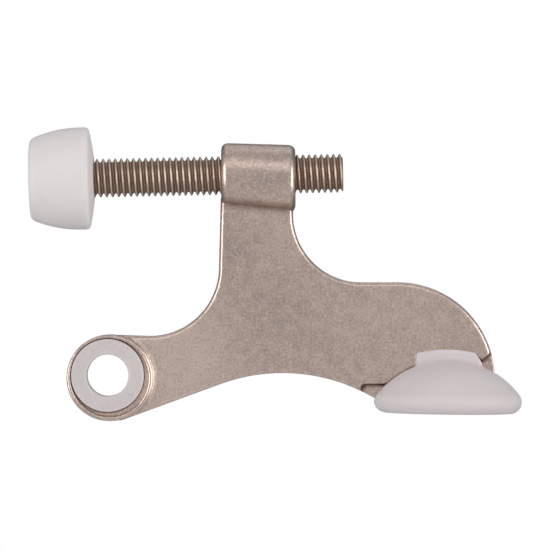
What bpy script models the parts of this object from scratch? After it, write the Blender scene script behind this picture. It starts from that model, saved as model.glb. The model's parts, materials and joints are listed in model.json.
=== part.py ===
"""Adjustable hinge-pin door stop.

The eye goes over a door hinge's pin, the tip on the threaded rod meets the wall and the foot meets the
door. The origin is on the pin's axis, halfway through the casting. +X runs from the eye to the foot, +Z
runs up the neck to the barrel, and the pin's axis is Y. The front is the side that faces -Y.
"""

import math

import bmesh
import bpy
from mathutils import Matrix, Vector

MM = 0.001
TURN = 2.0 * math.pi

# Fits
GAP = 0.3 * MM  # between two pieces that touch
THREAD_CLEARANCE = 0.2 * MM  # radial, between the rod's thread and the barrel's
FACET_SAG = 0.03 * MM  # how far a facet may lie inside the curve that it stands for
TURNED_STEPS = 40  # facets round a turned piece

# Casting: plate and arm
PLATE_THICKNESS = 5.0 * MM
PLATE_EDGE_RADIUS = 1.0 * MM
EDGE_FACETS = 3
ARM_TOP = 8.1 * MM  # height of the arm's upper edge where the hollow beside the neck begins
LEFT_HOLLOW_RADIUS = 14.2 * MM
RIGHT_HOLLOW_RADIUS = 14.0 * MM
NECK_CORNER = 1.5 * MM  # its top corners, inside the barrel
NECK_TAPER = 0.45 * MM  # how much further left the neck's left edge is at its foot than at the barrel
NECK_SETBACK = 0.5 * MM  # the neck's right edge, in from the barrel's right end
TAIL_TOP = 19.15 * MM
TAIL_END = 79.7 * MM  # the tail's furthest point from the pin's axis, along X
TAIL_RADIUS = 20.0 * MM
BELLY_CREST_X = 36.0 * MM
BELLY_CREST_Z = 0.46 * MM
BELLY_RADIUS = 37.0 * MM

# Casting: eye
EYE_RADIUS = 8.9 * MM
EYE_THICKNESS = 6.6 * MM
EYE_EDGE_RADIUS = 0.5 * MM
EYE_X = 0.45 * MM  # the ring lies off the pin's axis, as cast
EYE_Z = -0.5 * MM
EYE_LIP = 0.6 * MM  # width of the lip round the bush's seat
EYE_SEAT_DEPTH = 1.0 * MM
WALL_STEP = 0.05 * MM  # the arm's edges lie this far inside the ring's wall, so the two walls don't coincide
HEEL_ANGLE = math.radians(-74.0)  # where the arm's lower edge meets the ring, from +X round the ring's axis
HEEL_PROUD = 0.18 * MM  # and how far it stands out from the ring there
HEEL_CORNER = 1.5 * MM

# Casting: barrel
BARREL_X = 31.0 * MM
BARREL_LENGTH = 15.3 * MM
BARREL_LEFT_RADIUS = 6.5 * MM
BARREL_RIGHT_RADIUS = 6.93 * MM
BARREL_END_RADIUS = 1.2 * MM
BARREL_DROP = 0.37 * MM  # the barrel's outside lies this far below the rod's axis
BARREL_SLOPE = math.tan(math.radians(3.5))  # its outside slopes down to the right, between upright ends

# Rod: metric coarse thread, right-handed
ROD_HEIGHT = 41.3 * MM  # above the pin's axis, at the middle of the barrel
ROD_TILT = math.radians(1.17)  # rises to the right
ROD_RADIUS = 4.0 * MM
THREAD_PITCH = 1.25 * MM
THREAD_DEPTH = 0.767 * MM
THREAD_CREST = THREAD_PITCH / 8
THREAD_ROOT = THREAD_PITCH / 5
THREAD_FACETS = 16  # a turn
ROD_RIGHT_REACH = 17.45 * MM  # the plain end, from the middle of the barrel
ROD_CHAMFER = 0.45 * MM
ROD_NECK_RADIUS = 3.2 * MM  # unthreaded, inside the tip
ROD_HEAD_RADIUS = 5.6 * MM
ROD_HEAD_THICKNESS = 2.0 * MM
THREAD_IN_TIP = 1.5 * MM  # how far the thread runs into the tip
HEAD_DEPTH = 4.5 * MM  # the head's near face, from the tip's rear face

# Tip on the rod
TIP_REAR_REACH = 33.65 * MM  # the middle of its crowned rear face, from the middle of the barrel
TIP_LENGTH = 13.45 * MM  # along its axis
TIP_RADIUS = 10.54 * MM  # at its widest
TIP_WIDEST = 10.5 * MM  # from the contact face
TIP_FLANK_RADIUS = 25.0 * MM  # the side's gentle bulge
TIP_CROWN_RADIUS = 45.0 * MM  # the rear face's
TIP_FACE_CORNER = 1.5 * MM
TIP_REAR_CORNER = 0.8 * MM

# Foot
FOOT_INSET = 9.65 * MM  # the foot's axis, in from the tail's end
FOOT_FACE_Z = -7.8 * MM
FOOT_TILT = math.radians(0.7)  # its face dips to the right
FOOT_RADIUS = 15.25 * MM
FOOT_RIM_RADIUS = 2.4 * MM
FOOT_HEIGHT = 11.1 * MM
FOOT_FLOOR = 2.8 * MM  # solid below the slot for the tongue
EAR_LEFT = 6.5 * MM
EAR_RIGHT = 6.9 * MM
EAR_RIGHT_AT_TOP = 5.8 * MM
EAR_HEIGHT = 13.1 * MM
EAR_ARCH = 0.8 * MM
EAR_CORNER = 0.5 * MM
EAR_PROUD = 0.3 * MM  # beyond the plate's faces
EAR_ROOT = 6.0 * MM  # height at which the ears start, inside the dome

# The tongue that the foot fits over, and the step down to it
TONGUE_THICKNESS = 2.4 * MM
TONGUE_LEFT_CORNER = 1.5 * MM
TONGUE_RIGHT_CORNER = 1.5 * MM
SEAT_MARGIN = 0.4 * MM  # between the dome and the step that follows it
SEAT_BLEND = 2.0 * MM
LEFT_NOTCH_REACH = 18.1 * MM  # from the foot's axis
LEFT_NOTCH_HEIGHT = 6.15 * MM  # above the foot's face
LEFT_NOTCH_CORNER = 0.7 * MM
RIGHT_NOTCH_HEIGHT = 11.2 * MM  # where it meets the ear
RIGHT_NOTCH_SLOPE = math.radians(39.0)

# Bushes
PIN_HOLE_RADIUS = 4.3 * MM
BUSH_RADIUS = 5.6 * MM
BUSH_FLANGE_RADIUS = 7.5 * MM
BUSH_PROUD = 0.2 * MM  # its face, beyond the eye's lip
BUSH_EDGE = 0.3 * MM

# Places that several pieces share
FOOT_X = TAIL_END - FOOT_INSET
FOOT_DOME_RADIUS = (
    (FOOT_RADIUS - FOOT_RIM_RADIUS) ** 2
    + (FOOT_HEIGHT - FOOT_RIM_RADIUS) ** 2
    - FOOT_RIM_RADIUS**2
) / (2 * (FOOT_HEIGHT - 2 * FOOT_RIM_RADIUS))
FOOT_DOME_Z = FOOT_FACE_Z + FOOT_HEIGHT - FOOT_DOME_RADIUS
TONGUE_BOTTOM = FOOT_FACE_Z + FOOT_FLOOR + GAP
BARREL_LEFT = BARREL_X - BARREL_LENGTH / 2
BARREL_RIGHT = BARREL_X + BARREL_LENGTH / 2
NECK_LEFT = BARREL_LEFT
NECK_RIGHT = BARREL_RIGHT - NECK_SETBACK
FAR = 20.0 * MM  # how far a cutter runs past what it cuts


def material(name, colour, roughness, metallic):
    """A plain finish, with its colour in linear light."""
    made = bpy.data.materials.new(name)
    made.use_nodes = True
    shader = made.node_tree.nodes["Principled BSDF"]
    shader.inputs["Base Color"].default_value = (*colour, 1.0)
    shader.inputs["Roughness"].default_value = roughness
    shader.inputs["Metallic"].default_value = metallic
    return made


def made_object(name, bm, finish=None, location=(0.0, 0.0, 0.0), turn_y=0.0):
    """A scene object from a bmesh, turned about Y, with its faces pointing out."""
    bmesh.ops.remove_doubles(bm, verts=bm.verts, dist=1e-7)
    bmesh.ops.recalc_face_normals(bm, faces=bm.faces)
    mesh = bpy.data.meshes.new(name)
    bm.to_mesh(mesh)
    bm.free()
    if finish:
        mesh.materials.append(finish)
    built = bpy.data.objects.new(name, mesh)
    built.location = location
    built.rotation_euler = (0.0, turn_y, 0.0)
    bpy.context.scene.collection.objects.link(built)
    return built


def combine(target, tool, operation):
    """Apply one Boolean to the target and remove the tool."""
    step = target.modifiers.new(operation.lower(), "BOOLEAN")
    step.operation = operation
    step.solver = "EXACT"
    step.object = tool
    bpy.context.view_layer.update()
    evaluated = target.evaluated_get(bpy.context.evaluated_depsgraph_get())
    result = bpy.data.meshes.new_from_object(evaluated)
    target.modifiers.clear()
    target.data = result
    bpy.data.objects.remove(tool)
    return target


def facets(radius, sweep):
    """How many facets an arc needs to stay within FACET_SAG of its circle."""
    if radius <= FACET_SAG:
        return 1
    return max(1, math.ceil(abs(sweep) / (2 * math.acos(1 - FACET_SAG / radius)) - 1e-6))


def arc(centre, radius, start_deg, end_deg, count):
    """Points along an arc, both ends included."""
    angles = [math.radians(start_deg + (end_deg - start_deg) * i / count) for i in range(count + 1)]
    return [(centre[0] + radius * math.cos(a), centre[1] + radius * math.sin(a)) for a in angles]


def belt(discs, grow=0.0):
    """The outline of a belt run anticlockwise round discs (x, z, radius), moved outwards by grow.

    A positive disc lies inside the belt and a negative one outside it, as a hollow. A disc of radius 0 is
    a sharp corner. Neighbouring discs are joined by the straight line that touches both.
    """
    headings = []
    for (x0, z0, r0), (x1, z1, r1) in zip(discs, discs[1:] + discs[:1]):
        closing = r0 - r1
        straight = math.sqrt(max((x1 - x0) ** 2 + (z1 - z0) ** 2 - closing**2, 0.0))
        headings.append(math.atan2(z1 - z0, x1 - x0) + math.atan2(closing, straight))
    points = []
    for i, (x, z, radius) in enumerate(discs):
        if radius == 0.0:
            points.append((x, z))
            continue
        sweep = headings[i] - headings[i - 1]
        sweep = (sweep + 1e-6) % TURN - 1e-6 if radius > 0 else (sweep - 1e-6) % -TURN + 1e-6
        count = facets(abs(radius), sweep)
        for k in range(count + 1):
            heading = headings[i - 1] + sweep * k / count
            reach = radius + grow
            points.append((x + reach * math.sin(heading), z - reach * math.cos(heading)))
    return points


def slab(name, outline, low_y, high_y, edge_radius=0.0, finish=None):
    """An outline in the XZ plane drawn out along Y, with both its rims rounded."""
    bm = bmesh.new()
    rim = [bm.verts.new((x, low_y, z)) for x, z in outline]
    bmesh.ops.remove_doubles(bm, verts=rim, dist=1e-6)
    face = bm.faces.new(bm.verts)
    drawn = bmesh.ops.extrude_face_region(bm, geom=[face])
    moved = [part for part in drawn["geom"] if isinstance(part, bmesh.types.BMVert)]
    bmesh.ops.translate(bm, verts=moved, vec=(0.0, high_y - low_y, 0.0))
    if edge_radius:
        rims = [edge for edge in bm.edges if abs(edge.verts[0].co.y - edge.verts[1].co.y) < 1e-9]
        bmesh.ops.bevel(
            bm, geom=rims, offset=edge_radius, segments=EDGE_FACETS, profile=0.5, affect="EDGES"
        )
    return made_object(name, bm, finish)


def turned(name, profile, axis, finish=None, **place):
    """A profile of (radius, distance along the axis) points turned about the axis.

    A profile that starts and ends on the axis makes a solid, and a closed one off the axis makes a ring.
    """
    bm = bmesh.new()
    line = [bm.verts.new((radius, 0.0, along)) for radius, along in profile]
    ring = profile[0][0] > 0.0
    pairs = zip(line, line[1:] + line[:1]) if ring else zip(line, line[1:])
    edges = [bm.edges.new(pair) for pair in pairs]
    bmesh.ops.spin(
        bm, geom=line + edges, axis=(0, 0, 1), cent=(0, 0, 0), angle=TURN, steps=TURNED_STEPS
    )
    bmesh.ops.transform(
        bm, matrix=Vector((0, 0, 1)).rotation_difference(Vector(axis)).to_matrix().to_4x4(), verts=bm.verts
    )
    return made_object(name, bm, finish, **place)


def helical_thread(name, clearance, low, high, **place):
    """A screw thread about X with its profile grown by a clearance, over more than low to high.

    Each turn's last profile point is the next turn's first, so one strip of quads winds round the rod. A
    cone from a point on the axis closes each end.
    """
    outer = ROD_RADIUS + clearance
    inner = outer - THREAD_DEPTH
    flank = (THREAD_PITCH - THREAD_CREST - THREAD_ROOT) / 2
    profile = [
        (0.0, outer),
        (THREAD_CREST, outer),
        (THREAD_CREST + flank, inner),
        (THREAD_CREST + flank + THREAD_ROOT, inner),
    ]
    first = math.floor(low / THREAD_PITCH) - 2
    turns = math.ceil(high / THREAD_PITCH) + 2 - first
    steps = turns * THREAD_FACETS
    bm = bmesh.new()
    rows = []
    for i in range(steps + THREAD_FACETS + 1):
        angle = TURN * i / THREAD_FACETS
        start = THREAD_PITCH * (first + i / THREAD_FACETS)
        rows.append(
            [bm.verts.new((start + x, r * math.cos(angle), r * math.sin(angle))) for x, r in profile]
        )
    strip = [rows[i] + [rows[i + THREAD_FACETS][0]] for i in range(steps + 1)]
    for here, after in zip(strip, strip[1:]):
        for k in range(len(profile)):
            bm.faces.new((here[k], after[k], after[k + 1], here[k + 1]))
    for end, tip_x in ((0, first - 1), (steps, first + turns + 2)):
        tip = bm.verts.new((THREAD_PITCH * tip_x, 0.0, 0.0))
        loop = [rows[end + i][0] for i in range(THREAD_FACETS + 1)] + strip[end][-2:0:-1]
        for here, after in zip(loop, loop[1:] + loop[:1]):
            bm.faces.new((tip, here, after))
    unused = [vert for row in rows[steps + 1 :] for vert in row[1:]]
    bmesh.ops.delete(bm, geom=unused, context="VERTS")
    return made_object(name, bm, **place)


def casting_discs():
    """The discs that the casting's outline is drawn round, anticlockwise from the eye."""
    tail_x = TAIL_END - TAIL_RADIUS
    tail_z = TAIL_TOP - TAIL_RADIUS
    belly_z = BELLY_CREST_Z - BELLY_RADIUS
    left_z = TONGUE_BOTTOM + TONGUE_LEFT_CORNER
    left_reach = BELLY_RADIUS + TONGUE_LEFT_CORNER
    left_x = BELLY_CREST_X + math.sqrt(left_reach**2 - (left_z - belly_z) ** 2)
    right_z = TONGUE_BOTTOM + TONGUE_RIGHT_CORNER
    right_reach = TAIL_RADIUS - TONGUE_RIGHT_CORNER
    right_x = tail_x + math.sqrt(right_reach**2 - (right_z - tail_z) ** 2)
    hollow_x = NECK_LEFT - NECK_TAPER - LEFT_HOLLOW_RADIUS
    heel_reach = EYE_RADIUS + HEEL_PROUD - HEEL_CORNER
    heel_x = EYE_X + heel_reach * math.cos(HEEL_ANGLE)
    heel_z = EYE_Z + heel_reach * math.sin(HEEL_ANGLE)
    return [
        (EYE_X, EYE_Z, EYE_RADIUS - WALL_STEP),
        (heel_x, heel_z, HEEL_CORNER),
        (BELLY_CREST_X, belly_z, -BELLY_RADIUS),
        (left_x, left_z, TONGUE_LEFT_CORNER),
        (right_x, right_z, TONGUE_RIGHT_CORNER),
        (tail_x, tail_z, TAIL_RADIUS),
        (NECK_RIGHT + RIGHT_HOLLOW_RADIUS, TAIL_TOP + RIGHT_HOLLOW_RADIUS, -RIGHT_HOLLOW_RADIUS),
        (NECK_RIGHT - NECK_CORNER, ROD_HEIGHT - NECK_CORNER, NECK_CORNER),
        (NECK_LEFT + NECK_CORNER, ROD_HEIGHT - NECK_CORNER, NECK_CORNER),
        (hollow_x, ARM_TOP + LEFT_HOLLOW_RADIUS, -LEFT_HOLLOW_RADIUS),
    ]


def ear_discs(grow=0.0):
    """The arched top of the foot's ears, from its right corner to its left one."""
    left = FOOT_X - EAR_LEFT
    right = FOOT_X + EAR_RIGHT_AT_TOP
    half = (right - left) / 2
    arch_radius = (half**2 + EAR_ARCH**2) / (2 * EAR_ARCH)
    arch_x = (left + right) / 2
    arch_z = FOOT_FACE_Z + EAR_HEIGHT - arch_radius
    corner_reach = half - EAR_CORNER
    corner_z = arch_z + math.sqrt((arch_radius - EAR_CORNER) ** 2 - corner_reach**2)
    return [
        (arch_x + corner_reach, corner_z, EAR_CORNER + grow),
        (arch_x, arch_z, arch_radius + grow),
        (arch_x - corner_reach, corner_z, EAR_CORNER + grow),
    ]


def step_discs():
    """The region where both faces of the casting step down to the tongue."""
    low = FOOT_FACE_Z - FAR
    far_right = FOOT_X + FOOT_RADIUS
    ear_right = FOOT_X + EAR_RIGHT + GAP
    ear_left = FOOT_X - EAR_LEFT - GAP
    notch_left = FOOT_X - LEFT_NOTCH_REACH
    notch_top = FOOT_FACE_Z + LEFT_NOTCH_HEIGHT
    right_top = FOOT_FACE_Z + RIGHT_NOTCH_HEIGHT
    seat_radius = FOOT_DOME_RADIUS + SEAT_MARGIN
    seat_top = FOOT_DOME_Z + math.sqrt(seat_radius**2 - (FOOT_X - ear_left) ** 2)
    blend_z = notch_top + SEAT_BLEND
    blend_x = FOOT_X - math.sqrt((seat_radius + SEAT_BLEND) ** 2 - (blend_z - FOOT_DOME_Z) ** 2)
    return [
        (notch_left, low, 0.0),
        (far_right, low, 0.0),
        (far_right, right_top + (far_right - ear_right) * math.tan(RIGHT_NOTCH_SLOPE), 0.0),
        (ear_right, right_top, 0.0),
        *ear_discs(GAP),
        (ear_left, seat_top, 0.0),
        (FOOT_X, FOOT_DOME_Z, seat_radius),
        (blend_x, blend_z, -SEAT_BLEND),
        (notch_left + LEFT_NOTCH_CORNER, notch_top - LEFT_NOTCH_CORNER, LEFT_NOTCH_CORNER),
    ]


def eye_cylinder(name, radius, low_y, high_y):
    """A plain cylinder on the eye ring's own axis."""
    profile = [(0.0, low_y), (radius, low_y), (radius, high_y), (0.0, high_y)]
    return turned(name, profile, (0, 1, 0), location=(EYE_X, 0.0, EYE_Z))


def cast_body(finish):
    """The casting: plate, eye and barrel in one, then everything that is cut from it."""
    half = PLATE_THICKNESS / 2
    body = slab("cast_body", belt(casting_discs()), -half, half, PLATE_EDGE_RADIUS, finish)
    for low_y, high_y in ((-FAR, -TONGUE_THICKNESS / 2), (TONGUE_THICKNESS / 2, FAR)):
        combine(body, slab("step", belt(step_discs()), low_y, high_y), "DIFFERENCE")

    eye_half = EYE_THICKNESS / 2
    edge = EYE_EDGE_RADIUS
    seat_radius = EYE_RADIUS - EYE_LIP
    seat_y = eye_half - EYE_SEAT_DEPTH
    combine(body, eye_cylinder("eye_room", EYE_RADIUS - EYE_LIP / 2, -FAR, FAR), "DIFFERENCE")
    eye_profile = [
        (0.0, -seat_y),
        (seat_radius, -seat_y),
        (seat_radius, -eye_half),
        *arc((EYE_RADIUS - edge, -eye_half + edge), edge, -90, 0, EDGE_FACETS),
        *arc((EYE_RADIUS - edge, eye_half - edge), edge, 0, 90, EDGE_FACETS),
        (seat_radius, eye_half),
        (seat_radius, seat_y),
        (0.0, seat_y),
    ]
    ring = turned("eye_ring", eye_profile, (0, 1, 0), location=(EYE_X, 0.0, EYE_Z))
    combine(body, ring, "UNION")

    end = BARREL_END_RADIUS
    reach = BARREL_LENGTH / 2
    barrel_profile = [
        (0.0, -reach),
        *arc((BARREL_LEFT_RADIUS - end, -reach + end), end, -90, 0, 4),
        *arc((BARREL_RIGHT_RADIUS - end, reach - end), end, 0, 90, 4),
        (0.0, reach),
    ]
    barrel = turned(
        "barrel", barrel_profile, (1, 0, 0), location=(BARREL_X, 0.0, ROD_HEIGHT - BARREL_DROP)
    )
    slope = Matrix.Identity(4)
    slope[2][0] = -BARREL_SLOPE
    barrel.data.transform(slope)
    combine(body, barrel, "UNION")

    bore_profile = [
        (0.0, -FAR),
        (BUSH_RADIUS + GAP, -FAR),
        (BUSH_RADIUS + GAP, FAR),
        (0.0, FAR),
    ]
    combine(body, turned("bush_bore", bore_profile, (0, 1, 0)), "DIFFERENCE")

    tap = helical_thread(
        "tap", THREAD_CLEARANCE, -BARREL_LENGTH, BARREL_LENGTH, **on_rod_axis()
    )
    return combine(body, tap, "DIFFERENCE")


def on_rod_axis():
    """Where a piece on the rod's axis stands: its own X is the axis, from the middle of the barrel."""
    return {"location": (BARREL_X, 0.0, ROD_HEIGHT), "turn_y": -ROD_TILT}


def adjusting_rod(finish):
    """The threaded rod, turned down inside the tip and headed there."""
    rear = -TIP_REAR_REACH
    thread_end = rear - THREAD_IN_TIP
    head_near = rear - HEAD_DEPTH
    rod = helical_thread("adjusting_rod", 0.0, thread_end, ROD_RIGHT_REACH, **on_rod_axis())
    blank_radius = ROD_RADIUS + GAP
    blank_profile = [
        (0.0, thread_end),
        (blank_radius, thread_end),
        (blank_radius, ROD_RIGHT_REACH - ROD_CHAMFER - GAP),
        (ROD_RADIUS - ROD_CHAMFER, ROD_RIGHT_REACH),
        (0.0, ROD_RIGHT_REACH),
    ]
    combine(rod, turned("blank", blank_profile, (1, 0, 0), **on_rod_axis()), "INTERSECT")
    overlap = 0.5 * MM
    head_profile = [
        (0.0, head_near - ROD_HEAD_THICKNESS),
        (ROD_HEAD_RADIUS, head_near - ROD_HEAD_THICKNESS),
        (ROD_HEAD_RADIUS, head_near),
        (ROD_NECK_RADIUS, head_near),
        (ROD_NECK_RADIUS, thread_end + overlap),
        (0.0, thread_end + overlap),
    ]
    combine(rod, turned("head", head_profile, (1, 0, 0), **on_rod_axis()), "UNION")
    rod.data.materials.clear()
    rod.data.materials.append(finish)
    return rod


def crossing(centre_a, radius_a, centre_b, radius_b):
    """The point where two circles cross, on the left of the way from a to b."""
    between = Vector(centre_b) - Vector(centre_a)
    along = (radius_a**2 - radius_b**2 + between.length_squared) / (2 * between.length)
    aside = math.sqrt(radius_a**2 - along**2)
    way = between.normalized()
    return Vector(centre_a) + way * along + Vector((-way.y, way.x)) * aside


def rod_bumper(finish):
    """The tip: flat contact face to the left, bulging side, crowned rear face, hollow for the head."""
    rear = -TIP_REAR_REACH
    face = rear - TIP_LENGTH
    flank_centre = (TIP_RADIUS - TIP_FLANK_RADIUS, face + TIP_WIDEST)
    crown_centre = (0.0, rear - TIP_CROWN_RADIUS)
    face_reach = TIP_FLANK_RADIUS - TIP_FACE_CORNER
    face_drop = TIP_WIDEST - TIP_FACE_CORNER
    face_corner = (flank_centre[0] + math.sqrt(face_reach**2 - face_drop**2), face + TIP_FACE_CORNER)
    rear_corner = crossing(
        flank_centre, TIP_FLANK_RADIUS - TIP_REAR_CORNER,
        crown_centre, TIP_CROWN_RADIUS - TIP_REAR_CORNER,
    )
    face_turn = -math.degrees(math.asin(face_drop / face_reach))
    rear_turn = math.degrees(math.atan2(rear_corner.y - flank_centre[1], rear_corner.x - flank_centre[0]))
    crown_turn = math.degrees(math.atan2(rear_corner.y - crown_centre[1], rear_corner.x))
    hole = ROD_RADIUS + GAP
    hole_turn = math.degrees(math.acos(hole / TIP_CROWN_RADIUS))
    throat = rear - THREAD_IN_TIP - GAP
    head_near = rear - HEAD_DEPTH + GAP
    head_far = rear - HEAD_DEPTH - ROD_HEAD_THICKNESS - GAP
    profile = [
        (0.0, face),
        *arc(face_corner, TIP_FACE_CORNER, -90, face_turn, 4),
        *arc(flank_centre, TIP_FLANK_RADIUS, face_turn, rear_turn, 6)[1:-1],
        *arc(rear_corner, TIP_REAR_CORNER, rear_turn, crown_turn, 4),
        *arc(crown_centre, TIP_CROWN_RADIUS, crown_turn, hole_turn, 3)[1:],
        (hole, throat),
        (ROD_NECK_RADIUS + GAP, throat),
        (ROD_NECK_RADIUS + GAP, head_near),
        (ROD_HEAD_RADIUS + GAP, head_near),
        (ROD_HEAD_RADIUS + GAP, head_far),
        (0.0, head_far),
    ]
    return turned("rod_bumper", profile, (1, 0, 0), finish, **on_rod_axis())


def foot_bumper(finish):
    """The mushroom foot, its two ears, and the slot that takes the tongue."""
    rim = FOOT_RIM_RADIUS
    rim_centre = (FOOT_RADIUS - rim, rim)
    dome_z = FOOT_HEIGHT - FOOT_DOME_RADIUS
    meeting_deg = math.degrees(math.atan2(rim - dome_z, FOOT_RADIUS - rim))
    profile = [
        (0.0, 0.0),
        *arc(rim_centre, rim, -90, meeting_deg, 8),
        *arc((0.0, dome_z), FOOT_DOME_RADIUS, meeting_deg, 90, 8)[1:-1],
        (0.0, FOOT_HEIGHT),
    ]
    foot = turned(
        "foot_bumper", profile, (0, 0, 1), finish, location=(FOOT_X, 0.0, FOOT_FACE_Z), turn_y=FOOT_TILT
    )
    root_z = FOOT_FACE_Z + EAR_ROOT
    ear_outline = belt([
        (FOOT_X - EAR_LEFT, root_z, 0.0),
        (FOOT_X + EAR_RIGHT, root_z, 0.0),
        (FOOT_X + EAR_RIGHT, FOOT_FACE_Z + FOOT_HEIGHT - EAR_ARCH, 0.0),
        *ear_discs(),
    ])
    ear_y = PLATE_THICKNESS / 2 + EAR_PROUD
    combine(foot, slab("ears", ear_outline, -ear_y, ear_y), "UNION")
    slot_y = TONGUE_THICKNESS / 2 + GAP
    slot = slab("slot", belt(casting_discs(), grow=GAP), -slot_y, slot_y)
    return combine(foot, slot, "DIFFERENCE")


def bush(name, side, finish):
    """One flanged bush. Side is -1 at the front and 1 at the back."""
    face = EYE_THICKNESS / 2 + BUSH_PROUD
    flange_y = EYE_THICKNESS / 2 - EYE_SEAT_DEPTH + GAP
    profile = [
        (PIN_HOLE_RADIUS, GAP / 2),
        (BUSH_RADIUS, GAP / 2),
        (BUSH_RADIUS, flange_y),
        (BUSH_FLANGE_RADIUS, flange_y),
        *arc((BUSH_FLANGE_RADIUS - BUSH_EDGE, face - BUSH_EDGE), BUSH_EDGE, 0, 90, EDGE_FACETS),
        *arc((PIN_HOLE_RADIUS + BUSH_EDGE, face - BUSH_EDGE), BUSH_EDGE, 90, 180, EDGE_FACETS),
    ]
    return turned(name, profile, (0, side, 0), finish)


def main():
    """Clear the scene and build every piece."""
    for old in list(bpy.data.objects):
        bpy.data.objects.remove(old)
    nickel = material("satin_nickel", (0.38, 0.32, 0.28), 0.38, 1.0)
    plated_steel = material("plated_steel", (0.33, 0.27, 0.22), 0.32, 1.0)
    white_rubber = material("white_rubber", (0.72, 0.70, 0.70), 0.55, 0.0)
    white_nylon = material("white_nylon", (0.62, 0.59, 0.59), 0.45, 0.0)
    pieces = [
        cast_body(nickel),
        adjusting_rod(plated_steel),
        rod_bumper(white_rubber),
        foot_bumper(white_rubber),
        bush("front_bush", -1, white_nylon),
        bush("rear_bush", 1, white_nylon),
    ]
    for piece in pieces:
        piece.data.shade_smooth()
        piece.data.set_sharp_from_angle(angle=math.radians(30))


main()
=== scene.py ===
"""The looks of an adjustable hinge-pin door stop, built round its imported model.

Everything is in metres in the model's own frame: the origin is on the hinge pin's axis, +X runs from the
eye to the foot, +Z runs up the neck to the barrel, and the front faces -Y. Each operator builds one piece,
or a group of like pieces, and the last one builds the stage.
"""

import json
import math

import bmesh
import bpy
import numpy as np
from bpy.props import FloatProperty, FloatVectorProperty, IntProperty, PointerProperty
from mathutils import Matrix, Vector


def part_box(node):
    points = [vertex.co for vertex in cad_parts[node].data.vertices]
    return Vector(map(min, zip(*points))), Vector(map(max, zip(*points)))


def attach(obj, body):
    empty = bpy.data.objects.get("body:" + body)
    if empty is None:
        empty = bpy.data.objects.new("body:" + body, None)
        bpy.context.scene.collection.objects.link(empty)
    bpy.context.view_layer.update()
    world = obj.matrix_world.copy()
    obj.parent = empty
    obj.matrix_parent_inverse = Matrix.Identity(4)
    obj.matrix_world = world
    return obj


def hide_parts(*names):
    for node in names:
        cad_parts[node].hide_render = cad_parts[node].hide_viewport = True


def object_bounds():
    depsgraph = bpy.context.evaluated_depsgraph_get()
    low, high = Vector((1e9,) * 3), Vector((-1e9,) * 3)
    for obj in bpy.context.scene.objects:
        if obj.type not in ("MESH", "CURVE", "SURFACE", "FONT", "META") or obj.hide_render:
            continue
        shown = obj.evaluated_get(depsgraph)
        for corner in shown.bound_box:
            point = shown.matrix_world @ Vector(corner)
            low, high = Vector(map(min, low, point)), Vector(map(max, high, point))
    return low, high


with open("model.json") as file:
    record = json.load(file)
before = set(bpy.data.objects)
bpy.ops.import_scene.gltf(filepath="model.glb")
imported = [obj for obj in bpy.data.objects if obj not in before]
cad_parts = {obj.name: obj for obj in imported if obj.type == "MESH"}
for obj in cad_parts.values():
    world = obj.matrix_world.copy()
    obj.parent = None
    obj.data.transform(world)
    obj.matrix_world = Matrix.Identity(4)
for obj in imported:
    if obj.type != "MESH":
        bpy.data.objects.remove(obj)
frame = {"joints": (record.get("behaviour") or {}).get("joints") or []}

bl_info = {
    "name": "Hinge-Pin Door Stop",
    "version": (1, 0, 0),
    "blender": (4, 5, 0),
    "location": "3D View > Sidebar > Door Stop",
    "description": "Builds a cast hinge-pin door stop with its screw, bumpers and bushes",
    "category": "Add Mesh",
}

CAD_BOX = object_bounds()
JOINTS = {joint["name"]: joint for joint in frame["joints"]}

MM = 0.001
TURN = 2.0 * math.pi
PIN = (0.0, 0.0, 0.0)  # the hinge pin's axis runs through here along Y
MERGE = 1e-7  # points closer than this are one point
FAR = 20.0 * MM  # how far a cutter runs past what it cuts
FINE = 0.25 * MM  # spacing of the points along a curved outline
GAP = 0.3 * MM  # between two pieces that touch

# Casting: plate and arm
ARM_TOP = 8.1 * MM
LEFT_HOLLOW_RADIUS = 14.2 * MM
RIGHT_HOLLOW_RADIUS = 14.0 * MM
NECK_CORNER = 1.5 * MM
NECK_TAPER = 0.45 * MM
NECK_SETBACK = 0.5 * MM
TAIL_TOP = 19.15 * MM
TAIL_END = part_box("cast_body")[1].x
TAIL_RADIUS = 20.0 * MM
BELLY_CREST_X = 36.0 * MM
BELLY_CREST_Z = 0.46 * MM
BELLY_RADIUS = 37.0 * MM

# Casting: eye
EYE_X = 0.45 * MM
EYE_Z = -0.5 * MM
EYE_THICKNESS = 6.6 * MM
EYE_EDGE_RADIUS = 0.5 * MM
EYE_SEAT_DEPTH = 1.0 * MM
EYE_FLOOR_DEPTH = 0.55 * MM  # the seat's floor round the bush's own pocket
EYE_POCKET_GAP = 0.15 * MM
COLLAR_WIDTH = 0.75 * MM  # a low collar where the ring meets the arm
COLLAR_PROUD = 0.15 * MM
COLLAR_EDGE = 0.2 * MM
WALL_STEP = 0.05 * MM  # how far the plate's round end lies inside the ring
HEEL_ANGLE = math.radians(-74.0)
HEEL_PROUD = 0.18 * MM
HEEL_CORNER = 1.5 * MM

# Casting: barrel, which the screw runs through
ROD_HEIGHT = JOINTS["rod_turn"]["pos_m"][2]
BARREL_X = JOINTS["rod_turn"]["pos_m"][0]
ROD_AXIS = np.array(JOINTS["rod_turn"]["axis"], float)
BARREL_LENGTH = 15.3 * MM
BARREL_LEFT_RADIUS = 6.53 * MM
BARREL_RIGHT_RADIUS = 6.93 * MM
BARREL_END_RADIUS = 1.4 * MM
BARREL_DROP = 0.37 * MM
BARREL_SLOPE = math.tan(math.radians(3.5))
TAPPED_RADIUS = 4.12 * MM
TAPPED_COUNTERSINK = 0.5 * MM
TAPPED_OVERRUN = 0.5 * MM  # how far the hole's cutter runs past the barrel's ends

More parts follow.
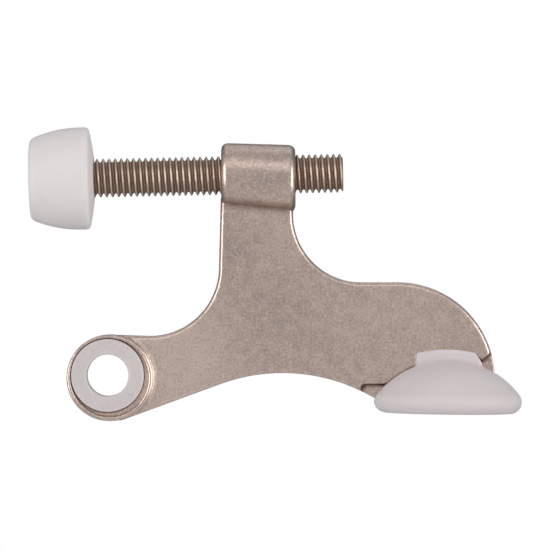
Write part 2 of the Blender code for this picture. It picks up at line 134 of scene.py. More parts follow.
# Screw
ROD_RIGHT_REACH = 17.45 * MM
ROD_CHAMFER = 0.45 * MM
ROD_NECK_RADIUS = 3.2 * MM
ROD_HEAD_RADIUS = 5.6 * MM
ROD_HEAD_THICKNESS = 2.0 * MM
THREAD_IN_TIP = 1.5 * MM
HEAD_DEPTH = 4.5 * MM
NECK_OVERLAP = 0.5 * MM  # how far the neck runs into the end of the thread
SPARE_TURNS = 3  # turns of thread laid past each end, then folded into its face
FLANK_SOFTNESS = 0.3
THREAD_PHASE = 0.15 * MM

# Tip on the screw
TIP_REAR_REACH = 33.65 * MM
TIP_LENGTH = 13.45 * MM
TIP_RADIUS = 10.54 * MM
TIP_WIDEST = 10.5 * MM
TIP_FLANK_RADIUS = 25.0 * MM
TIP_CROWN_RADIUS = 45.0 * MM
TIP_FACE_CORNER = 1.5 * MM
TIP_REAR_CORNER = 0.8 * MM
TIP_HOLE_EDGE = 0.25 * MM

# Foot
FOOT_X = TAIL_END - 9.65 * MM
FOOT_FACE_Z = -7.8 * MM
FOOT_TILT = math.radians(0.7)
FOOT_RADIUS = 15.25 * MM
FOOT_RIM_RADIUS = 2.4 * MM
FOOT_HEIGHT = 11.1 * MM
FOOT_FLOOR = 2.8 * MM
FOOT_DOME_RADIUS = (
    (FOOT_RADIUS - FOOT_RIM_RADIUS) ** 2
    + (FOOT_HEIGHT - FOOT_RIM_RADIUS) ** 2
    - FOOT_RIM_RADIUS**2
) / (2 * (FOOT_HEIGHT - 2 * FOOT_RIM_RADIUS))
FOOT_DOME_Z = FOOT_FACE_Z + FOOT_HEIGHT - FOOT_DOME_RADIUS
EAR_LEFT = 6.6 * MM
EAR_RIGHT = 7.0 * MM
EAR_RIGHT_AT_TOP = 5.9 * MM
EAR_HEIGHT = 13.2 * MM
EAR_ARCH = 0.8 * MM
EAR_CORNER = 0.5 * MM
EAR_Y = 2.8 * MM
EAR_ROOT = 6.0 * MM

# The tongue that the foot fits over, and the step down to it
TONGUE_THICKNESS = 2.4 * MM
TONGUE_BOTTOM = FOOT_FACE_Z + FOOT_FLOOR + GAP
TONGUE_LEFT_CORNER = 1.5 * MM
TONGUE_RIGHT_CORNER = 1.5 * MM
SEAT_MARGIN = -0.05 * MM
EAR_BITE = 0.1 * MM  # how far the ears reach over the edge of the step
STEP_DRAFT = 0.55 * MM  # how far the step's walls lean in on the way down to the tongue
STEP_LEVELS = 6
LEFT_LEAN = 0.5  # how far the top of the left notch comes down for each unit of lean
RIGHT_LEAN = 1.3  # and the top of the right one
SEAT_BLEND = 2.0 * MM
LEFT_NOTCH_REACH = 18.1 * MM
LEFT_NOTCH_HEIGHT = 6.15 * MM
LEFT_NOTCH_CORNER = 0.7 * MM
RIGHT_NOTCH_HEIGHT = 11.2 * MM
RIGHT_NOTCH_SLOPE = math.radians(39.0)

# Bushes
PIN_HOLE_RADIUS = 4.3 * MM
BUSH_RADIUS = 5.6 * MM
BUSH_FLANGE_RADIUS = 7.5 * MM
BUSH_FACE = -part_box("front_bush")[0].y
BUSH_EDGE = 0.3 * MM

NECK_LEFT = BARREL_X - BARREL_LENGTH / 2
NECK_RIGHT = BARREL_X + BARREL_LENGTH / 2 - NECK_SETBACK

# Rounded corners: points along each
COLLAR_STEPS = 4  # and the floor's rim
RING_STEPS = 5  # and the mouth of the tip's hole
RIM_STEPS = 6
BARREL_STEPS = 8  # and the bushes
TIP_CORNER_STEPS = 12  # and the tip's crown
FOOT_RIM_STEPS = 16
FLANK_STEPS = 40  # the tip's flank and the foot's dome
ROUND_STEPS = 96  # points round the screw's head and the floor

# Unevenness of the casting's skin
RIPPLE_LENGTH = 2.4 * MM
RIPPLE_SPREAD = (0.7, 1.4)  # shortest and longest ripple, as shares of the length
RIPPLE_WAVES = 40
RIPPLE_SEED = 3
NICK_WIDTH = 0.50 * MM
NICK_DEPTH = 0.035 * MM
NICK_SMALLEST = 0.4  # smallest nick, as a share of the largest
NICK_SEED = 11
LUMP_WIDTH = 0.42 * MM
LUMP_HEIGHT = 0.030 * MM
LUMP_SEED = 17
EDGE_ROUNDS = 3  # how often the edges' sharpness is averaged
FOOT_RELAXING = 3

# Painted shade in the casting's sheltered places
SHELTER_GAIN = 2.0
SHELTER_MARGIN = 1.5 * MM  # how far past the left notch they reach
SHELTER_SINK = 0.15 * MM  # how deep below the plate's face they start
UNDER_BARREL_REACH = 1.5 * MM
UNDER_BARREL_SHARE = 0.6

# Broad patches of painted light and shade on the casting: x, z, reach and darkness, below 0 where it is
# lighter
PAINTED_PATCHES = (
    (NECK_LEFT + 2.5 * MM, 27.0 * MM, 6.0 * MM, 0.7),
    (33.0 * MM, 13.0 * MM, 8.0 * MM, 0.45),
    (BARREL_X + 1.0 * MM, ROD_HEIGHT - 1.2 * MM, 4.0 * MM, 0.8),
    (14.0 * MM, 3.5 * MM, 11.0 * MM, -1.3),
    (FOOT_X - 8.0 * MM, 12.0 * MM, 13.0 * MM, -0.30),
    (NECK_RIGHT - 4.5 * MM, 31.0 * MM, 8.0 * MM, -0.45),
)

# Stage
FLOOR_REACH = 120.0 * MM
FLOOR_THICKNESS = 4 * MM
FLOOR_RIM = 2.0 * MM
FLOOR_FADE = (0.55, 0.95)  # where the floor starts to fade and is gone, as shares of its reach
ROOM_FRONT = (0.56, 0.545, 0.54, 1.0)
ROOM_BACK = (0.19, 0.185, 0.19, 1.0)
ROOM_BLEND = (-0.2, 0.65)  # the room darkens while a direction's share along Y rises through this
WARM = (1.0, 0.965, 0.94)
COOL = (0.97, 0.96, 1.0)

# Lights: name, place from the object's middle, width and height, radiance and tint
LIGHTS = (
    ("key", (-0.10, -0.72, 0.66), (1.1, 0.46), 0.55, WARM),
    ("left_strip", (-0.80, -0.50, 0.06), (0.42, 0.9), 3.0, WARM),
    ("right_strip", (0.80, -0.50, 0.06), (0.42, 0.9), 3.3, WARM),
    ("top", (0.0, 0.45, 0.85), (1.0, 0.8), 0.42, COOL),
)


# Surfaces


def squares(index):
    """Corner numbers of the squares between the rows and columns of a grid of point numbers."""
    corners = [index[:-1, :-1], index[1:, :-1], index[1:, 1:], index[:-1, 1:]]
    return np.stack(corners, -1).reshape(-1, 4).tolist()


def quads(rows, columns, ring=False):
    """Corner numbers of a grid's squares, closed round its columns, and round its rows if it's a ring."""
    index = np.arange(rows * columns).reshape(rows, columns)
    index = np.hstack([index, index[:, :1]])
    if ring:
        index = np.vstack([index, index[:1]])
    return squares(index)


def solid_object(name, points, faces):
    """A scene object from points and faces, its doubles merged and then its faces turned outwards."""
    mesh = bpy.data.meshes.new(name)
    mesh.from_pydata(np.asarray(points, float).reshape(-1, 3).tolist(), [], faces)
    bm = bmesh.new()
    bm.from_mesh(mesh)
    bmesh.ops.remove_doubles(bm, verts=bm.verts, dist=MERGE)
    bmesh.ops.recalc_face_normals(bm, faces=bm.faces)
    bm.to_mesh(mesh)
    bm.free()
    built = bpy.data.objects.new(name, mesh)
    bpy.context.scene.collection.objects.link(built)
    return built


def arc(centre, radius, start_deg, end_deg, count):
    """Points along an arc: centre + radius * (cos, sin) of angles spread evenly from start to end."""
    angle = np.radians(np.linspace(start_deg, end_deg, count + 1))
    return np.column_stack([centre[0] + radius * np.cos(angle), centre[1] + radius * np.sin(angle)])


def rims(low_radius, high_radius, low, high, edge, steps):
    """The side of a turned disc from low to high: a quarter circle at each rim, a straight line between."""
    return [
        arc((low_radius - edge, low + edge), edge, -90, 0, steps),
        arc((high_radius - edge, high - edge), edge, 0, 90, steps),
    ]


def turned(name, profile, origin, axis, steps=128, ring=False):
    """A profile carried round an axis.

    The point at angle t for a profile point (radius, distance) is the origin, plus distance times the axis,
    plus radius times (cos t of one side direction and sin t of the other).
    """
    radius, along = np.vstack(profile).T
    axis = np.array(axis, float) / np.linalg.norm(axis)
    helper = (0.0, 1.0, 0.0) if abs(axis[1]) < 0.9 else (1.0, 0.0, 0.0)
    side = np.cross(axis, helper)
    side /= np.linalg.norm(side)
    other = np.cross(axis, side)
    angle = TURN * np.arange(steps) / steps
    around = np.cos(angle)[:, None] * side + np.sin(angle)[:, None] * other
    points = np.asarray(origin) + along[:, None, None] * axis + radius[:, None, None] * around
    return solid_object(name, points, quads(len(radius), steps, ring))


def plug(name, radius, low, high, origin, axis):
    """A plain cylinder from low to high along an axis."""
    return turned(name, [(0.0, low), (radius, low), (radius, high), (0.0, high)], origin, axis)


def belt(discs, grow=0.0):
    """The outline of a belt run anticlockwise round discs (x, z, radius), moved outwards by grow.

    The straight line from one disc to the next heads at the line of centres plus the angle whose sine is
    the fall in radius over the distance. A point on a disc lies (radius + grow) from its centre, square to
    a heading that turns evenly from the line before it to the line after it. A negative radius is a hollow.
    """
    x, z, radius = np.array(discs, float).T
    across, up = np.roll(x, -1) - x, np.roll(z, -1) - z
    closing = radius - np.roll(radius, -1)
    straight = np.sqrt(np.maximum(across**2 + up**2 - closing**2, 0.0))
    after = np.arctan2(up, across) + np.arctan2(closing, straight)
    before = np.roll(after, 1)
    tiny = 1e-6
    sweep = np.where(
        radius >= 0,
        np.mod(after - before + tiny, TURN) - tiny,
        np.mod(after - before - tiny, -TURN) + tiny,
    )
    runs = []
    for i, count in enumerate(np.ceil(np.abs(radius * sweep) / FINE).astype(int)):
        heading = before[i] + sweep[i] * np.linspace(0.0, 1.0, max(1, count) + 1)
        reach = radius[i] + grow if radius[i] else 0.0
        runs.append(np.column_stack([x[i] + reach * np.sin(heading), z[i] - reach * np.cos(heading)]))
    return np.vstack(runs)


def loft(name, outlines, depths):
    """Outlines in the XZ plane, each at its depth along Y, joined by squares and closed by flat ends."""
    count = len(outlines[0])
    points = np.concatenate(
        [np.column_stack([o[:, 0], np.full(count, y), o[:, 1]]) for o, y in zip(outlines, depths)]
    )
    last = len(points) - count
    ends = [list(range(count)), list(range(last, last + count))]
    return solid_object(name, points, quads(len(outlines), count) + ends)


def slab(name, discs, low_y, high_y, edge_radius=0.0, grow=0.0):
    """A belt's outline drawn out along Y, its rims rounded by quarter circles."""
    if not edge_radius:
        return loft(name, [belt(discs, grow)] * 2, [low_y, high_y])
    rim = np.vstack(rims(0.0, 0.0, low_y, high_y, edge_radius, RIM_STEPS))
    return loft(name, [belt(discs, grow + inset) for inset in rim[:, 0]], rim[:, 1])


def combine(target, tool, operation):
    """Apply one Boolean to the target and remove the tool."""
    step = target.modifiers.new(operation.lower(), "BOOLEAN")
    step.operation = operation
    step.solver = "EXACT"
    step.object = tool
    settle(target)
    bpy.data.objects.remove(tool)
    return target


def settle(piece):
    """Replace a piece's mesh with what its modifiers make of it."""
    bpy.context.view_layer.update()
    evaluated = piece.evaluated_get(bpy.context.evaluated_depsgraph_get())
    made = bpy.data.meshes.new_from_object(evaluated)
    piece.modifiers.clear()
    piece.data = made


def new_skin(piece, size, relaxing):
    """Give a piece an even skin of small squares, relaxed so that its corners are soft."""
    skin = piece.modifiers.new("skin", "REMESH")
    skin.mode = "VOXEL"
    skin.voxel_size = size
    relax = piece.modifiers.new("relax", "SMOOTH")
    relax.factor = 0.5
    relax.iterations = relaxing
    settle(piece)


def mesh_arrays(mesh):
    """Points, normals and edges of a mesh as arrays."""
    points = np.zeros(len(mesh.vertices) * 3)
    mesh.vertices.foreach_get("co", points)
    normals = np.zeros(len(mesh.vertices) * 3)
    mesh.vertex_normals.foreach_get("vector", normals)
    edges = np.zeros(len(mesh.edges) * 2, int)
    mesh.edges.foreach_get("vertices", edges)
    return points.reshape(-1, 3), normals.reshape(-1, 3), edges.reshape(-1, 2)


def neighbour_mean(values, edges):
    """Each point's mean over the points at the other ends of its edges."""
    total = np.zeros_like(values)
    count = np.bincount(edges.ravel(), minlength=len(values)).astype(float)
    for here, there in ((0, 1), (1, 0)):
        for k in range(values.shape[1]):
            total[:, k] += np.bincount(edges[:, here], values[edges[:, there], k], len(values))
    return total / np.maximum(count, 1.0)[:, None]


def store(piece, name, values):
    """Keep a number for each point on the mesh, for a finish to read."""
    stored = piece.data.attributes.new(name, "FLOAT", "POINT")
    stored.data.foreach_set("value", values.astype(np.float32))


def mark_edges(piece, size, rounds):
    """Store how sharply the skin turns: above 0 on an outer edge, below 0 in a crease.

    It is how far the neighbours' mean lies behind a point along its normal, over the skin's square size,
    averaged with the neighbours a few times.
    """
    points, normals, edges = mesh_arrays(piece.data)
    behind = ((points - neighbour_mean(points, edges)) * normals).sum(1, keepdims=True) / size
    for _ in range(rounds):
        behind = (behind + neighbour_mean(behind, edges)) / 2
    store(piece, "edge", behind[:, 0])


def move_skin(piece, height):
    """Move each point along its normal by its height."""
    points, normals, _ = mesh_arrays(piece.data)
    moved = points + normals * height[:, None]
    piece.data.vertices.foreach_set("co", moved.astype(np.float32).ravel())
    piece.data.update()


def ripples(points, length, depth, waves, seed):
    """Heights of a gentle unevenness: the mean of plane waves in random directions and phases."""
    random = np.random.default_rng(seed)
    directions = random.normal(size=(waves, 3))
    directions /= np.linalg.norm(directions, axis=1)[:, None]
    numbers = TURN / (length * random.uniform(*RIPPLE_SPREAD, waves))
    phases = random.uniform(0.0, TURN, waves)
    return depth * np.sin(points @ (directions * numbers[:, None]).T + phases).sum(1) / math.sqrt(waves)


def nicks(points, count, width, depth, seed):
    """Heights of small dents: round hollows that fall off as exp(-distance squared) from random points."""
    random = np.random.default_rng(seed)
    centres = points[random.integers(0, len(points), count)]
    heights = np.zeros(len(points))
    for centre, share in zip(centres, random.uniform(NICK_SMALLEST, 1.0, count)):
        away = ((points - centre) ** 2).sum(1) / (width * share) ** 2
        heights -= depth * share * np.exp(-away)
    return heights


def mark_painted_patches(piece):
    """Store the painted shade of broad patches, below 0 painted light: a sum of broad lobes, exp(-distance
    squared), round a few places.
    """
    points, _, _ = mesh_arrays(piece.data)
    wear = np.zeros(len(points))
    for x, z, reach, depth in PAINTED_PATCHES:
        away = (points[:, 0] - x) ** 2 + (points[:, 2] - z) ** 2
        wear += depth * np.exp(-away / reach**2)
    store(piece, "wear", wear)


def mark_shelter_shade(piece, half):
    """Store the painted shade of the sheltered places.

    It is 1 where the step's walls face the foot, below the plate's faces. Round the line where the barrel
    meets the plate it falls evenly from its full share to 0 over a short distance up and down.
    """
    points, normals, _ = mesh_arrays(piece.data)
    towards = np.array([FOOT_X, 0.0, FOOT_DOME_Z]) - points
    towards /= np.linalg.norm(towards, axis=1)[:, None]
    facing = np.clip((towards * normals).sum(1) * SHELTER_GAIN, 0.0, 1.0)
    away = np.hypot(points[:, 0] - FOOT_X, points[:, 2] - FOOT_FACE_Z)
    near = away < LEFT_NOTCH_REACH + SHELTER_MARGIN
    sunk = np.abs(points[:, 1]) < half - SHELTER_SINK
    along = np.clip((points[:, 0] - BARREL_X) / BARREL_LENGTH, -0.5, 0.5)
    middle_radius = (BARREL_LEFT_RADIUS + BARREL_RIGHT_RADIUS) / 2
    radius = middle_radius + (BARREL_RIGHT_RADIUS - BARREL_LEFT_RADIUS) * along
    axis_z = ROD_HEIGHT - BARREL_DROP - BARREL_SLOPE * along * BARREL_LENGTH
    from_meeting = np.abs(points[:, 2] - (axis_z - np.sqrt(radius**2 - half**2)))
    under = np.clip(1.0 - from_meeting / UNDER_BARREL_REACH, 0.0, 1.0) * UNDER_BARREL_SHARE
    store(piece, "wall", facing * near * sunk + under)


# Finishes


class Number:
    """A socket that carries a number. An operator on it adds a Math node."""

    def __init__(self, finish, socket):
        self.finish = finish
        self.socket = socket

    def joined(self, operation, first, second):
        made = self.finish.node("ShaderNodeMath", {"operation": operation}, {0: first, 1: second})
        return Number(self.finish, made.outputs[0])

    def __add__(self, other):
        return self.joined("ADD", self, other)

    def __sub__(self, other):
        return self.joined("SUBTRACT", self, other)

    def __rsub__(self, other):
        return self.joined("SUBTRACT", other, self)

    def __mul__(self, other):
        return self.joined("MULTIPLY", self, other)

    __radd__ = __add__
    __rmul__ = __mul__


class Finish:
    """A material as it is built: a Principled shader, and one method that adds any other node."""

    def __init__(self, name, **constants):
        self.material = bpy.data.materials.new(name)
        self.material.use_nodes = True
        self.tree = self.material.node_tree
        self.shader = self.tree.nodes["Principled BSDF"]
        self.place = self.node("ShaderNodeTexCoord").outputs["Object"]
        for key, value in constants.items():
            socket = key.replace("_", " ").title().replace("Ior", "IOR")
            self.shader.inputs[socket].default_value = value

    def node(self, kind, settings=None, inputs=None):
        """Add a node, set it up, and then give its sockets their values or links."""
        made = self.tree.nodes.new(kind)
        for key, value in (settings or {}).items():
            if key == "stops":
                self.set_stops(made.color_ramp, value)
            else:
                setattr(made, key, value)
        for key, value in (inputs or {}).items():
            self.feed(made.inputs[key], value)
        return made

    def set_stops(self, ramp, stops):
        """Give a colour ramp its two stops of (position, height)."""
        for element, (position, height) in zip(ramp.elements, stops):
            element.position = position
            element.color = (height, height, height, 1.0)

    def feed(self, socket, value):
        """Link a socket, or set its value."""
        if isinstance(value, Number):
            value = value.socket
        if isinstance(value, bpy.types.NodeSocket):
            self.tree.links.new(value, socket)
        else:
            socket.default_value = value

    def noise(self, size, detail=2.0, roughness=0.5, distortion=0.0, place=None):
        """Noise from 0 to 1 whose lumps are about the given size in metres."""
        inputs = {
            "Vector": place or self.place, "Scale": 1.0 / size, "Detail": detail,
            "Roughness": roughness, "Distortion": distortion,
        }
        return Number(self, self.node("ShaderNodeTexNoise", None, inputs).outputs["Fac"])

    def stretched(self, scale, turn=(0.0, 0.0, 0.0)):
        """The place, turned and scaled unevenly, for a pattern with a direction."""
        inputs = {"Vector": self.place, "Scale": scale, "Rotation": turn}
        return self.node("ShaderNodeMapping", None, inputs).outputs[0]

    def spots(self, size, radius):
        """1 at the middle of scattered cells of the given size, falling to 0 at a share of the size."""
        cells = self.node("ShaderNodeTexVoronoi", None, {"Vector": self.place, "Scale": 1.0 / size})
        return self.ramp(cells.outputs["Distance"], [(0.0, 1.0), (radius, 0.0)])

    def ramp(self, value, stops):
        """A number read off a ramp between two (position, height) stops."""
        made = self.node("ShaderNodeValToRGB", {"stops": stops}, {"Fac": value})
        return Number(self, made.outputs["Color"])

    def mark(self, name):
        """A number stored on the mesh."""
        return Number(self, self.node("ShaderNodeAttribute", {"attribute_name": name}).outputs["Fac"])

    def mix(self, share, first, second):
        """A colour between two colours."""
        made = self.node("ShaderNodeMix", {"data_type": "RGBA"})
        self.feed(made.inputs[0], share)
        for socket, colour in ((made.inputs[6], first), (made.inputs[7], second)):
            self.feed(socket, (*colour, 1.0) if isinstance(colour, tuple) else colour)
        return made.outputs[2]

    def bump(self, height, depth):
        """A normal tilted by a height from 0 to 1 over a depth in metres."""
        inputs = {"Height": height, "Distance": depth, "Strength": 1.0}
        return self.node("ShaderNodeBump", None, inputs).outputs[0]

    def done(self, colour, roughness, normal):
        """Feed the shader and hand the material over."""
        self.feed(self.shader.inputs["Base Color"], colour)
        self.feed(self.shader.inputs["Roughness"], roughness)
        self.feed(self.shader.inputs["Normal"], normal)
        return self.material


def shade(colour, factor):
    """A colour made lighter or darker."""
    return tuple(min(1.0, part * factor) for part in colour)


def browned(colour, red, green, blue):
    """A colour with each of its parts turned down by its own share."""
    return (colour[0] * red, colour[1] * green, colour[2] * blue)


def satin_nickel(colour, grain_depth):
    """Bead-blasted nickel on a casting: sparkling grain, mottling, specks, painted highlights on edges,
    painted shade in creases.
    """
    finish = Finish("satin_nickel", metallic=1.0)
    mottle = finish.ramp(finish.noise(2.0 * MM, 3.0, 0.6), [(0.34, 0.0), (0.66, 1.0)])
    grain = finish.noise(0.50 * MM, 3.0, 0.7)
    light_grain = finish.ramp(grain, [(0.52, 0.0), (0.70, 1.0)])
    dark_grain = finish.ramp(grain, [(0.30, 1.0), (0.48, 0.0)])
    pits = finish.spots(2.2 * MM, 0.11)
    flecks = finish.spots(1.7 * MM, 0.10)
    wear = finish.mark("wear")
    edge = finish.mark("edge")
    painted_edge_highlight = finish.ramp(edge, [(0.05, 0.0), (0.24, 1.0)])
    crease = finish.ramp(edge * -1.0, [(0.012, 0.0), (0.10, 1.0)])
    tone = finish.mix(mottle, shade(colour, 0.91), shade(colour, 1.09))
    # painted shade in broad patches, then painted light where the patches go below 0
    tone = finish.mix(finish.ramp(wear, [(0.0, 0.0), (1.0, 0.45)]), tone, shade(colour, 0.62))
    tone = finish.mix(finish.ramp(wear * -1.0, [(0.0, 0.0), (1.0, 0.7)]), tone, shade(colour, 1.32))
    tone = finish.mix(light_grain * 0.75, tone, shade(colour, 1.45))
    tone = finish.mix(dark_grain * 0.75, tone, shade(colour, 0.62))
    tone = finish.mix(flecks * 0.5, tone, shade(colour, 1.5))
    # painted highlight on the outer edges
    tone = finish.mix(painted_edge_highlight * 0.35, tone, shade(colour, 1.25))
    # painted shade on the step's walls that face the foot and along the line under the barrel
    tone = finish.mix(finish.mark("wall") * 0.75, tone, browned(colour, 0.3, 0.24, 0.2))
    # painted shade in the creases
    tone = finish.mix(crease * 0.85, tone, browned(colour, 0.34, 0.27, 0.22))
    tone = finish.mix(pits * 0.7, tone, shade(colour, 0.5))
    roughness = 0.27 + mottle * 0.06 + dark_grain * 0.05 - painted_edge_highlight * 0.05 + crease * 0.15
    height = grain + mottle * 0.5 + flecks * 0.4 - pits * 0.8
    return finish.done(tone, roughness, finish.bump(height, grain_depth))


def plated_steel(colour):
    """Plated steel thread: painted highlights on the crests, painted shade in the roots, a few reddish
    patches.
    """
    finish = Finish("plated_steel", metallic=1.0)
    height = finish.mark("height")
    film = finish.noise(1.8 * MM, 3.0, 0.6)
    painted_crest_highlight = finish.ramp(height + (film - 0.5) * 0.3, [(0.55, 0.0), (1.0, 1.0)])
    root = finish.ramp(height, [(0.0, 1.0), (0.5, 0.0)])
    rust = finish.ramp(finish.noise(3.5 * MM, 4.0, 0.7), [(0.58, 0.0), (0.68, 1.0)])
    tone = finish.mix(film, shade(colour, 0.8), shade(colour, 1.15))
    # painted shade in the thread's roots
    tone = finish.mix(root * 0.6, tone, browned(colour, 0.45, 0.38, 0.32))
    tone = finish.mix(rust * 0.35, tone, (0.30, 0.15, 0.08))
    # painted highlight on the crests
    tone = finish.mix(painted_crest_highlight * 0.75, tone, shade(colour, 1.6))
    roughness = 0.38 - painted_crest_highlight * 0.1 + film * 0.1 + rust * 0.12
    scratches = finish.noise(0.25 * MM, 2.0, 0.6, place=finish.stretched((3.0, 1.0, 1.0)))
    return finish.done(tone, roughness, finish.bump(scratches, 0.006 * MM))


def white_plastic(name, colour, roughness, peel):
    """Moulded white rubber or nylon: faint clouding, small specks, a soft peel and light scuffs."""
    finish = Finish(
        name, specular_ior_level=0.45, subsurface_weight=0.5,
        subsurface_radius=(1.0, 0.95, 0.92), subsurface_scale=2.0 * MM,
    )
    cloud = finish.ramp(finish.noise(6.0 * MM, 3.0, 0.6), [(0.35, 0.0), (0.65, 1.0)])
    fine = finish.noise(0.7 * MM, 3.0, 0.6)
    specks = finish.spots(3.4 * MM, 0.045)
    scuff = finish.noise(1.2 * MM, 3.0, 0.7, 0.6, finish.stretched((0.35, 1.0, 1.0), (0.0, 0.5, 0.2)))
    scuff = finish.ramp(scuff, [(0.62, 0.0), (0.70, 1.0)])
    tone = finish.mix(cloud, shade(colour, 0.975), shade(colour, 1.01))
    tone = finish.mix(scuff * 0.12, tone, shade(colour, 0.86))
    tone = finish.mix(specks * 0.35, tone, browned(colour, 0.6, 0.55, 0.5))
    gloss = roughness + cloud * 0.06 + scuff * 0.1
    return finish.done(tone, gloss, finish.bump(fine + cloud * 0.5, peel))


# Settings


def length(name, description, default):
    return FloatProperty(name=name, description=description, default=default, unit="LENGTH", precision=5)


def whole(name, description, default, least):
    return IntProperty(name=name, description=description, default=default, min=least)


def colour(name, description, default):
    return FloatVectorProperty(
        name=name, description=description, default=default, subtype="COLOR", size=3, min=0.0, max=1.0
    )


class CastingSettings(bpy.types.PropertyGroup):
    plate_thickness: length("Plate Thickness", "Thickness of the arm, neck and tail", 5.0 * MM)
    rim_radius: length("Rim Radius", "Rounding of the plate's rim", 0.95 * MM)
    eye_radius: length("Eye Radius", "Outer radius of the ring round the hinge pin", 8.9 * MM)
    eye_lip: length("Eye Lip", "Width of the lip round the bush's seat", 0.85 * MM)
    skin: length("Skin Size", "Size of the squares that the casting's skin is made of", 0.24 * MM)
    relaxing: whole("Relaxing", "How often the skin is relaxed", 1, 0)
    peel: length("Peel", "Depth of the casting's unevenness", 0.006 * MM)
    nick_count: whole("Nicks", "Number of small dents, and of small lumps", 70, 0)
    grain: length("Grain", "Depth of the blasted grain", 0.026 * MM)
    nickel: colour("Nickel", "Colour of the satin nickel", (0.625, 0.516, 0.460))


class RodSettings(bpy.types.PropertyGroup):
    radius: length("Radius", "Outer radius of the thread", 4.0 * MM)
    pitch: length("Pitch", "Advance of the thread in one turn", 1.25 * MM)
    depth: length("Thread Depth", "From crest to root", 0.767 * MM)
    turn_steps: whole("Turn Steps", "Points round the screw", 72, 12)
    pitch_steps: whole("Pitch Steps", "Points across one thread", 16, 8)
    steel: colour("Steel", "Colour of the plated steel", (0.50, 0.41, 0.345))


class PlasticSettings(bpy.types.PropertyGroup):
    steps: whole("Steps", "Points round a turned piece", 160, 24)
    skin: length("Skin Size", "Size of the squares that the foot's skin is made of", 0.26 * MM)
    tip: colour("Tip", "Colour of the tip on the screw", (0.752, 0.73, 0.742))
    foot: colour("Foot", "Colour of the foot", (0.655, 0.617, 0.634))
    bush: colour("Bushes", "Colour of the bushes", (0.607, 0.566, 0.574))


class StageSettings(bpy.types.PropertyGroup):
    floor_drop: length("Floor Drop", "How far the floor lies below the object", 60.0 * MM)
    distance: length("Camera Distance", "From the camera to the pin's axis", 1.0)
    width: length("Frame Width", "Width that the camera sees at the object", 113.4 * MM)
    aim_x: length("Aim X", "Point that the camera faces, along X", 34.43 * MM)
    aim_z: length("Aim Z", "Point that the camera faces, along Z", 20.66 * MM)


# Pieces


def place_piece(piece, finish, body, slot, *nodes):
    """Give a piece its finish, then say what it rides on and which nodes it stands for. Its slot is not
    used.
    """
    piece.data.materials.append(finish)
    piece.data.shade_smooth()
    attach(piece, body)
    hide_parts(*nodes)


def casting_discs(eye_radius):
    """The discs that the casting's outline runs round, anticlockwise from the eye."""
    tail_x = TAIL_END - TAIL_RADIUS
    tail_z = TAIL_TOP - TAIL_RADIUS
    belly_z = BELLY_CREST_Z - BELLY_RADIUS
    left_z = TONGUE_BOTTOM + TONGUE_LEFT_CORNER
    left_reach = BELLY_RADIUS + TONGUE_LEFT_CORNER
    left_x = BELLY_CREST_X + math.sqrt(left_reach**2 - (left_z - belly_z) ** 2)
    right_z = TONGUE_BOTTOM + TONGUE_RIGHT_CORNER
    right_reach = TAIL_RADIUS - TONGUE_RIGHT_CORNER
    right_x = tail_x + math.sqrt(right_reach**2 - (right_z - tail_z) ** 2)
    hollow_x = NECK_LEFT - NECK_TAPER - LEFT_HOLLOW_RADIUS
    heel_reach = eye_radius + HEEL_PROUD - HEEL_CORNER
    heel_x = EYE_X + heel_reach * math.cos(HEEL_ANGLE)
    heel_z = EYE_Z + heel_reach * math.sin(HEEL_ANGLE)
    return [
        (EYE_X, EYE_Z, eye_radius - WALL_STEP),
        (heel_x, heel_z, HEEL_CORNER),
        (BELLY_CREST_X, belly_z, -BELLY_RADIUS),
        (left_x, left_z, TONGUE_LEFT_CORNER),
        (right_x, right_z, TONGUE_RIGHT_CORNER),
        (tail_x, tail_z, TAIL_RADIUS),
        (NECK_RIGHT + RIGHT_HOLLOW_RADIUS, TAIL_TOP + RIGHT_HOLLOW_RADIUS, -RIGHT_HOLLOW_RADIUS),
        (NECK_RIGHT - NECK_CORNER, ROD_HEIGHT - NECK_CORNER, NECK_CORNER),
        (NECK_LEFT + NECK_CORNER, ROD_HEIGHT - NECK_CORNER, NECK_CORNER),
        (hollow_x, ARM_TOP + LEFT_HOLLOW_RADIUS, -LEFT_HOLLOW_RADIUS),
    ]


def ear_discs(grow=0.0):
    """The arched top of the foot's ears, from its right corner to its left one."""
    left = FOOT_X - EAR_LEFT
    right = FOOT_X + EAR_RIGHT_AT_TOP
    half = (right - left) / 2
    arch_radius = (half**2 + EAR_ARCH**2) / (2 * EAR_ARCH)
    arch_x = (left + right) / 2
    arch_z = FOOT_FACE_Z + EAR_HEIGHT - arch_radius
    corner_reach = half - EAR_CORNER
    corner_z = arch_z + math.sqrt((arch_radius - EAR_CORNER) ** 2 - corner_reach**2)
    return [
        (arch_x + corner_reach, corner_z, EAR_CORNER + grow),
        (arch_x, arch_z, arch_radius + grow),
        (arch_x - corner_reach, corner_z, EAR_CORNER + grow),
    ]


